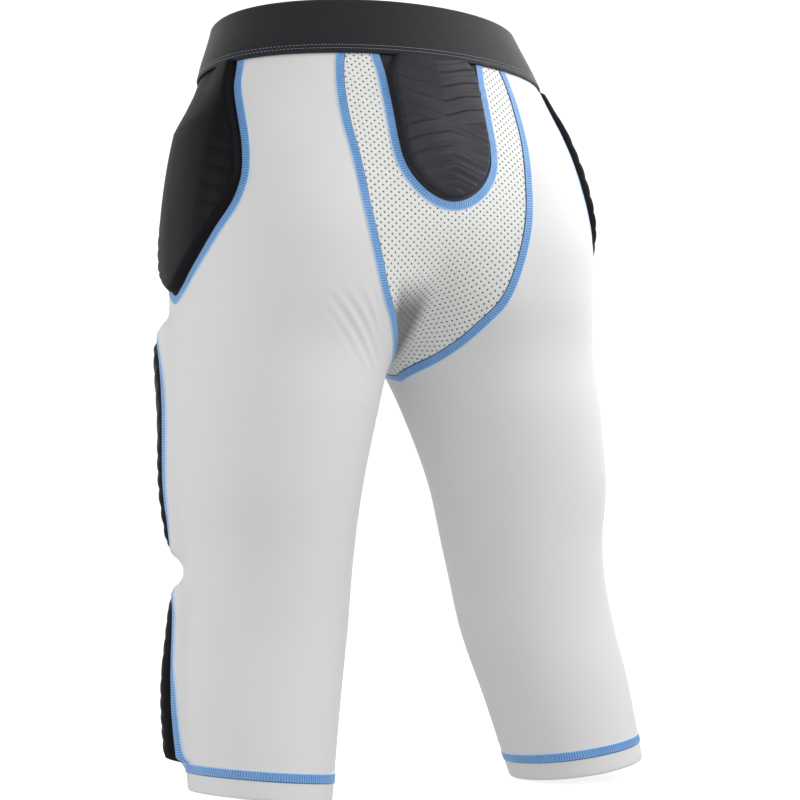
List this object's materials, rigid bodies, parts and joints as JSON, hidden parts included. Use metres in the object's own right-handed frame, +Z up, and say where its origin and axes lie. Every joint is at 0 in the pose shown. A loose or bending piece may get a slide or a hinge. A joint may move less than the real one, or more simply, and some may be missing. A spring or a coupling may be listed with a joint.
{
  "type": "padded football girdle",
  "caption": "Three-quarter stretch tights in worn form with foam pads let in at the tailbone, hips, thighs and knees, a perforated seat gusset and an elastic waistband.",
  "frame": {"origin": "middle of the waist opening, at the waistband's top edge", "axes": "+Z up towards the waist, -Y towards the wearer's front, +X towards the wearer's left"},
  "size_m": [0.4398, 0.258, 0.656],
  "materials": {
    "stretch_cloth": "matte",
    "perforated_cloth": "matte",
    "pad_cover": "satin",
    "elastic": "matte"
  },
  "bodies": {
    "root": {"waistband": "elastic", "seat_gusset": "perforated_cloth", "tail_pad": "pad_cover", "leg_panel_left": "stretch_cloth", "leg_panel_right": "stretch_cloth", "hip_pad_left": "pad_cover", "hip_pad_right": "pad_cover", "thigh_pad_left": "pad_cover", "thigh_pad_right": "pad_cover", "knee_pad_left": "pad_cover", "knee_pad_right": "pad_cover", "hem_left": "stretch_cloth", "hem_right": "stretch_cloth"}
  },
  "joints": []
}
